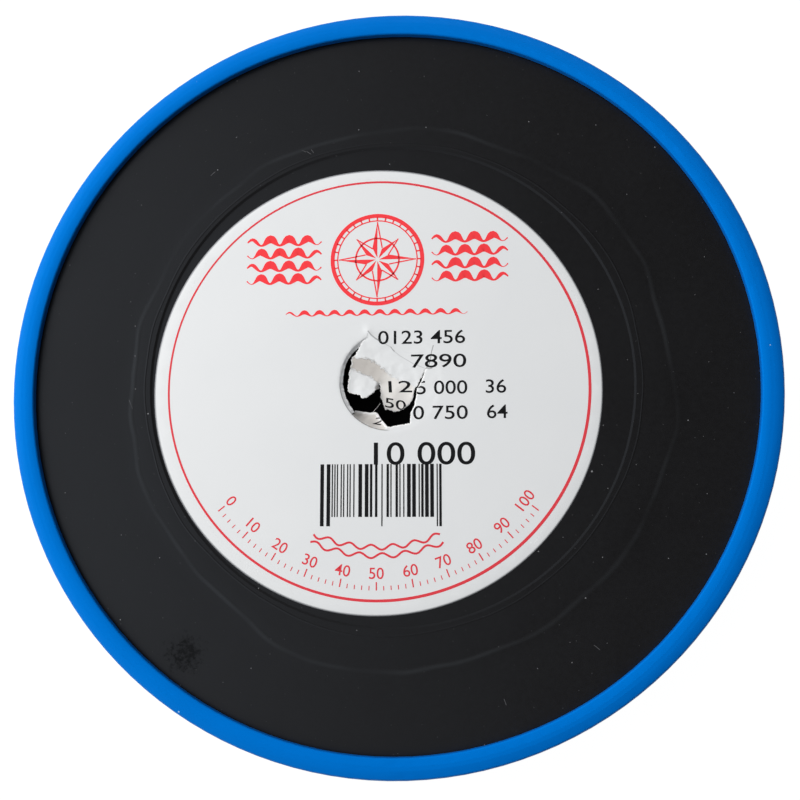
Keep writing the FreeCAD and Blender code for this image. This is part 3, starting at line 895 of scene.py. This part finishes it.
def build_label():
    soup = Soup()
    points, faces = flat_sheet()
    torn = tear_share(points, [slit, bottom_tear])
    soup.add(np.column_stack((points, flat_height(points))), faces, torn)
    points, faces = upper_flap()
    torn = tear_share(points, [flap_left[:-3], flap_bottom, tongue_edge[3:]], 0.22)
    soup.add(np.column_stack((points, flap_height(points))), faces, torn, *flap_shade(points))
    soup.add(*rim_strip())
    soup.add(*lower_flap(), 1.0, LOWER_FLAP_SHADE)
    soup.add(*loose_fibre())
    label = soup.build("torn_paper_label")
    paper = label.modifiers.new("paper_thickness", "SOLIDIFY")
    paper.thickness = LABEL_THICKNESS * MM
    paper.offset = -1
    label.data.materials.append(label_paper())
    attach(label, "spool")
    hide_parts("front_label")
    return label


# Print on the label: plain numbers, bars, a dial scale, a compass rose and waves

INK_LIFT = 0.012
INK_THICKNESS = 0.012
# Longest edges of the print over the torn paper and elsewhere, and the radius of the torn area.
FINE_PRINT_STEP, PRINT_STEP, TORN_AREA = 0.45, 40.0, 12.6
SPLIT_ROUNDS = 7
# Print on paper steeper than this share of level is left out.
LEAST_LEVEL = 0.55


class Print:
    """Flat shapes in one ink, laid on the label's paper."""

    def __init__(self):
        self.points, self.faces = [], []

    def add(self, points, faces):
        start = len(self.points)
        self.points += [(float(p[0]), float(p[1])) for p in points]
        self.faces += [tuple(start + i for i in face) for face in faces]

    def polygon(self, points):
        self.add(points, [tuple(range(len(points)))])

    def bar(self, x0, x1, y0, y1):
        self.polygon([(x0, y0), (x1, y0), (x1, y1), (x0, y1)])

    def stroke(self, points, width, closed=False):
        """A line of even width through the points. The width may be given for each point."""
        points = np.array(points, float)
        if closed:
            ahead = np.roll(points, -1, axis=0) - np.roll(points, 1, axis=0)
        else:
            ahead = np.gradient(points, axis=0)
        side = sideways(ahead)
        half = np.broadcast_to(np.asarray(width, float) / 2, len(points))[:, None]
        count = len(points)
        last = count if closed else count - 1
        faces = [(i, (i + 1) % count, count + (i + 1) % count, count + i) for i in range(last)]
        self.add(np.vstack((points + side * half, points - side * half)), faces)

    def number(self, text, left, baseline, height, width=None, angle=0.0, lean=0.0, centred=False):
        """Plain figures of a height. The width is of the whole number."""
        points, faces = figures(text)
        size = points.max(0)
        points = points / size * (width or height * size[0] / size[1], height)
        if centred:
            points[:, 0] -= points[:, 0].max() / 2
        points[:, 0] += points[:, 1] * math.tan(math.radians(lean))
        turn = math.radians(angle)
        spin = np.array(((math.cos(turn), math.sin(turn)), (-math.sin(turn), math.cos(turn))))
        self.add(points @ spin + (left, baseline), faces)

    def build(self, name, ink, label):
        flat = bmesh.new()
        corners = [flat.verts.new((x, y, 0)) for x, y in self.points]
        for face in self.faces:
            flat.faces.new([corners[i] for i in face])
        for _ in range(SPLIT_ROUNDS):
            bmesh.ops.triangulate(flat, faces=flat.faces)
            long = [edge for edge in flat.edges if edge.calc_length() > longest_edge(edge)]
            if not long:
                break
            bmesh.ops.subdivide_edges(flat, edges=long, cuts=1)
        bmesh.ops.triangulate(flat, faces=flat.faces)
        lay_on_paper(flat, label)
        for vertex in flat.verts:
            vertex.co *= MM
        mesh = bpy.data.meshes.new(name)
        flat.to_mesh(mesh)
        flat.free()
        piece = bpy.data.objects.new(name, mesh)
        bpy.context.scene.collection.objects.link(piece)
        layer = piece.modifiers.new("ink_thickness", "SOLIDIFY")
        layer.thickness = INK_THICKNESS * MM
        layer.offset = 1
        mesh.materials.append(ink)
        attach(piece, "spool")


def longest_edge(edge):
    """The longest that the print's edge may be where it lies."""
    middle = (edge.verts[0].co + edge.verts[1].co) / 2
    return FINE_PRINT_STEP if middle.length < TORN_AREA else PRINT_STEP


def lay_on_paper(flat, label):
    """Drops the print on the paper, and takes away what would lie over a gap."""
    tree = BVHTree.FromObject(label, bpy.context.evaluated_depsgraph_get())
    missed = []
    for vertex in flat.verts:
        above = Vector((vertex.co.x, vertex.co.y, 2 * LABEL_TOP)) * MM
        hit = tree.ray_cast(above, Vector((0, 0, -1)))[0]
        if hit is None:
            missed.append(vertex)
        else:
            vertex.co.z = hit.z / MM + INK_LIFT
    bmesh.ops.delete(flat, geom=missed, context="VERTS")
    steep = [face for face in flat.faces if abs(face.normal.z) < LEAST_LEVEL]
    bmesh.ops.delete(flat, geom=steep, context="FACES")
    for face in flat.faces:
        if face.normal.z < 0:
            face.normal_flip()


FIGURE_WEIGHT = 0.004


@functools.cache
def figures(text):
    """Flat mesh of plain figures, from the origin up and to the right: points and faces."""
    curve = bpy.data.curves.new("figures", "FONT")
    curve.body = text
    curve.offset = FIGURE_WEIGHT
    holder = bpy.data.objects.new("figures", curve)
    bpy.context.scene.collection.objects.link(holder)
    bpy.context.view_layer.update()
    mesh = bpy.data.meshes.new_from_object(holder.evaluated_get(bpy.context.evaluated_depsgraph_get()))
    points = np.array([v.co[:2] for v in mesh.vertices])
    faces = [tuple(p.vertices) for p in mesh.polygons]
    bpy.data.objects.remove(holder)
    bpy.data.curves.remove(curve)
    bpy.data.meshes.remove(mesh)
    return points - points.min(0), faces


def spoke(angle, length=1.0):
    turn = math.radians(angle)
    return np.array((math.cos(turn), math.sin(turn))) * length


ROSE_CENTRE = np.array((LABEL_CENTRE[0] + 0.4, 26.0))
ROSE_RINGS = ((9.55, 0.85), (8.45, 0.25), (4.6, 0.35))
ROSE_TICKS = 32
ROSE_TICK_ENDS = (8.5, 9.3)
ROSE_TICK_WIDTH = 0.3
# Long and short points of the rose: reach, and radius of the waist between two points.
ROSE_POINTS = ((8.2, 2.7), (6.3, 2.5))
ROSE_HUB = 0.35
ROSE_LINE = 0.26


def add_rose(ink):
    """Compass rose of eight points, each with one solid side and one in outline."""
    for radius, width in ROSE_RINGS:
        ink.stroke(circle(radius, ROSE_CENTRE, 72), width, closed=True)
    for tick in range(ROSE_TICKS):
        angle = tick * 360 / ROSE_TICKS
        ink.stroke([ROSE_CENTRE + spoke(angle, end) for end in ROSE_TICK_ENDS], ROSE_TICK_WIDTH)
    for point in range(8):
        angle = point * 45
        reach, waist = ROSE_POINTS[point % 2]
        tip = ROSE_CENTRE + spoke(angle, reach)
        ink.polygon([ROSE_CENTRE + spoke(angle, ROSE_HUB), tip, ROSE_CENTRE + spoke(angle + 22.5, waist)])
        ink.stroke([tip, ROSE_CENTRE + spoke(angle - 22.5, waist)], ROSE_LINE)


def add_waves(ink, start, end, level, count, spacing, height, length, width):
    """Rows of waves, each row half a wave on from the last, with heavy crests."""
    for row in range(count):
        x = np.linspace(start, end, 12 * round((end - start) / length) + 1)
        phase = 2 * math.pi * (x - start) / length + row * math.pi
        y = level - row * spacing + height * np.sin(phase)
        ends = np.minimum(rise(x, start, start + length), rise(x, end, end - length))
        ink.stroke(np.column_stack((x, y)), width * (0.25 + 0.75 * ends) * (0.75 + 0.45 * np.sin(phase)))


DIAL_CENTRE = np.array((LABEL_CENTRE[0] + 0.4, LABEL_CENTRE[1] + 0.1))
DIAL_RADIUS, DIAL_NUMBER_RADIUS, DIAL_NUMBER_HEIGHT = 41.9, 39.6, 2.3
DIAL_START, DIAL_END = 218.0, 322.0
DIAL_MARKS, DIAL_MARKS_PER_NUMBER = 50, 5
# Length and width of the dial's long and short marks.
LONG_MARK, SHORT_MARK = (1.7, 0.26), (0.9, 0.18)
DIAL_WAVE_RADII = (33.2, 34.9)
DIAL_WAVE_START, DIAL_WAVE_END = 247, 293
DIAL_WAVES_PER_TURN = 46.96
DIAL_WAVE_HEIGHT, DIAL_WAVE_WIDTH = 0.5, 0.42


def add_dial(ink):
    """Scale of ticks and plain numbers round the lower edge of the label, with two waves over it."""
    for mark in range(DIAL_MARKS + 1):
        angle = DIAL_START + (DIAL_END - DIAL_START) * mark / DIAL_MARKS
        numbered = mark % DIAL_MARKS_PER_NUMBER == 0
        length, width = LONG_MARK if numbered else SHORT_MARK
        ink.stroke([DIAL_CENTRE + spoke(angle, end) for end in (DIAL_RADIUS - length, DIAL_RADIUS)], width)
        if numbered:
            place = DIAL_CENTRE + spoke(angle, DIAL_NUMBER_RADIUS)
            ink.number(str(mark * 2), *place, DIAL_NUMBER_HEIGHT, angle=angle + 90, centred=True)
    turn = np.linspace(DIAL_WAVE_START, DIAL_WAVE_END, 145)
    for row, radius in enumerate(DIAL_WAVE_RADII):
        swell = np.sin(np.radians((turn - DIAL_WAVE_START) * DIAL_WAVES_PER_TURN) + row * math.pi)
        reach = radius + DIAL_WAVE_HEIGHT * swell
        spots = np.column_stack((np.cos(np.radians(turn)), np.sin(np.radians(turn)))) * reach[:, None]
        ink.stroke(DIAL_CENTRE + spots, DIAL_WAVE_WIDTH)


RING_CENTRE = (-2.70, -1.10)
RING_RADIUS = 44.09
RING_WIDTH, RING_UNEVENNESS, RING_HEAVY_SIDE = 0.50, 0.12, -35
SIDE_WAVES = ((-30.5, -14.5), (9.0, 25.0))


def red_print(label):
    """The duller red ring and dial, and the bright red rose and waves."""
    ink = Print()
    around = np.radians(np.arange(360) - RING_HEAVY_SIDE)
    width = RING_WIDTH + RING_UNEVENNESS * np.cos(around)
    ink.stroke(circle(RING_RADIUS, RING_CENTRE, 360), width, closed=True)
    add_dial(ink)
    ink.build("red_dial_print", print_ink("dull_red_ink", DULL_RED), label)
    ink = Print()
    add_rose(ink)
    for start, end in SIDE_WAVES:
        add_waves(ink, start, end, level=30.2, count=4, spacing=2.8, height=0.70, length=4.0, width=1.50)
    add_waves(ink, -22.0, 16.4, level=14.4, count=1, spacing=1.0, height=0.42, length=3.2, width=0.75)
    ink.build("red_print", print_ink("red_ink", BRIGHT_RED), label)


ROW_HEIGHT = 2.85
# Figures, left end, baseline, height and width, and on the bent paper also angle and lean.
NUMBERS = [
    ("0123 456", -2.32, 7.72, ROW_HEIGHT, 18.2),
    ("7890", 4.58, 2.65, ROW_HEIGHT, 11.5),
    ("5 000", 5.75, -2.95, ROW_HEIGHT, 10.5),
    ("12", -0.25, -2.15, 2.3, 5.0, -2, -4),
    ("36", 20.06, -2.83, ROW_HEIGHT, 4.2),
    ("0 750", 5.0, -8.2, ROW_HEIGHT, 11.3),
    ("50", -1.25, -5.0, 1.9, 4.6, -12, -8),
    ("2", -3.6, -8.9, 1.7, 1.8, -10, 14),
    ("64", 20.27, -8.11, ROW_HEIGHT, 4.2),
    ("10 000", -3.15, -17.6, 4.7, 20.9),
]
BARS_LEFT, BARS_RIGHT = -14.24, 10.86
BARS_TOP, BARS_FOOT, GUARDS_FOOT = -17.40, -28.25, -30.15
BAR_MODULE = 25.1 / 95
BAR_WIDTHS, GAP_WIDTHS = (1, 1, 1, 2, 2, 3), (1, 1, 1, 2, 2, 3)
BAR_SHRINK = 0.96
GUARDS_LEFT, GUARDS_MIDDLE, GUARDS_MIDDLE_REACH, GUARDS_RIGHT = -12.9, -1.7, 0.5, 9.8


def black_print(label):
    """Plain numbers, and bars of random widths with longer ones at the ends and the middle."""
    ink = Print()
    for number in NUMBERS:
        ink.number(*number)
    draw = random.Random(SEED + 20)
    x = BARS_LEFT
    while x < BARS_RIGHT - BAR_MODULE:
        width = draw.choice(BAR_WIDTHS) * BAR_MODULE
        guard = x < GUARDS_LEFT or x > GUARDS_RIGHT or abs(x - GUARDS_MIDDLE) < GUARDS_MIDDLE_REACH
        ink.bar(x, min(x + width * BAR_SHRINK, BARS_RIGHT), GUARDS_FOOT if guard else BARS_FOOT, BARS_TOP)
        x += width + draw.choice(GAP_WIDTHS) * BAR_MODULE
    ink.build("black_print", print_ink("black_ink", BLACK), label)


def dress(material, *names):
    """Gives the CAD nodes of these names the material."""
    for name in names:
        nodes[name].data.materials.clear()
        nodes[name].data.materials.append(material)


add_floor()
add_world()
add_key_lamp()
add_camera()
dress(black_plastic(), "front_spool_half", "rear_spool_half")
dress(blue_plastic(), "keeper_band")
dress(clear_line(), "line_winding")
label = build_label()
red_print(label)
black_print(label)

bpy.context.scene.view_settings.view_transform = "Standard"
